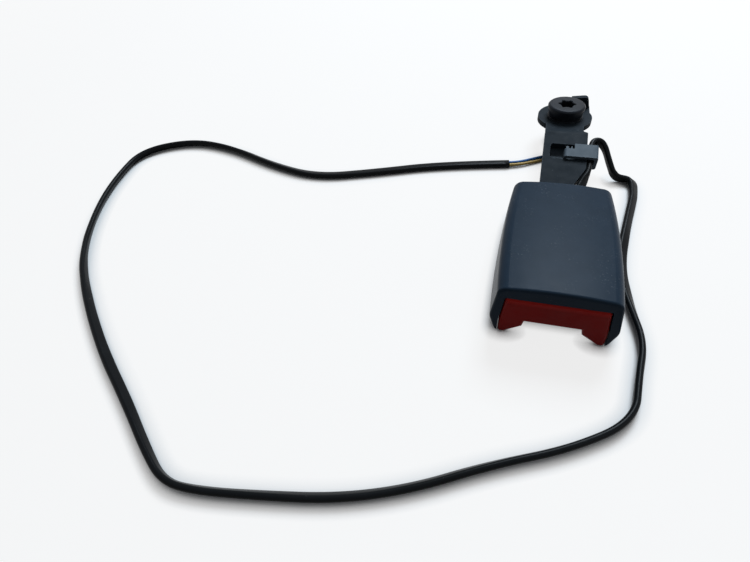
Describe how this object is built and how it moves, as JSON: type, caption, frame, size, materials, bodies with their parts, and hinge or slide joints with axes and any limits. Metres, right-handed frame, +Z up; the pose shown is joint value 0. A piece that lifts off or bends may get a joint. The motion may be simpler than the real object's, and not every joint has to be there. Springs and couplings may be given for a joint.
{
  "type": "seat belt buckle",
  "caption": "Seat belt buckle: dark wedge housing with a red end-release button and tongue slot, on a bent steel stalk with an anchor bolt and a switch cord held by a clip.",
  "frame": {"origin": "centre of the bounding box in plan, on the floor it lies on, measured without the free cord", "axes": "+Y from the release button to the anchor bolt, +Z up out of the housing's top, +X to the side the cord leaves"},
  "size_m": [0.284, 0.2461, 0.0282],
  "materials": {
    "cover": "fine-grained moulded plastic",
    "button": "satin moulded plastic",
    "steel": "zinc plated",
    "spring_steel": "drawn wire",
    "bracket": "satin black paint",
    "bolt": "black phosphate",
    "white_plastic": "natural moulded plastic",
    "contact": "bright",
    "clip": "satin moulded plastic",
    "sheath": "satin cable sheath",
    "blue_core": "wire insulation",
    "tan_core": "wire insulation"
  },
  "bodies": {
    "housing": {"upper_cover": "cover", "lower_cover": "cover", "frame": "steel", "frame_rivets": "steel", "latch_pin": "steel", "latch_spring": "spring_steel", "ejector_spring": "spring_steel", "button_springs": "spring_steel", "anchor_bracket": "bracket", "switch_housing": "white_plastic", "fixed_contact": "contact", "moving_contact": "contact", "cable_clip": "clip", "cord_held": "sheath", "cord_free": "sheath", "inner_wire_blue": "blue_core", "tail_blue": "blue_core", "inner_wire_tan": "tan_core", "tail_tan": "tan_core"},
    "button": {"release_button": "button"},
    "latch": {"latch": "steel"},
    "ejector": {"ejector": "white_plastic"},
    "bolt": {"anchor_bolt": "bolt", "spring_washer": "spring_steel", "retaining_washer": "white_plastic"}
  },
  "joints": [
    {"name": "button_press", "type": "slide", "parent": "housing", "child": "button", "axis": [0, 1, 0], "range_m": [0, 0.006], "stiffness_N_per_m": 400, "springref_m": -0.012, "deforming": ["button_springs"]},
    {"name": "latch_lift", "type": "hinge", "parent": "housing", "child": "latch", "pos_m": [0, -0.03335, 0.013], "axis": [-1, 0, 0], "range_deg": [0, 20], "deforming": ["latch_spring"]},
    {"name": "ejector_push", "type": "slide", "parent": "housing", "child": "ejector", "axis": [0, 1, 0], "range_m": [0, 0.013], "stiffness_N_per_m": 120, "springref_m": -0.012, "deforming": ["ejector_spring"]},
    {"name": "bolt_turn", "type": "hinge", "parent": "housing", "child": "bolt", "pos_m": [0, 0.06315, 0.0162], "axis": [0, 0.0872, 0.9962], "continuous": true}
  ],
  "couplings": [
    {"joint": "latch_lift", "follows": "button_press", "rad_per_m": 58.178}
  ]
}
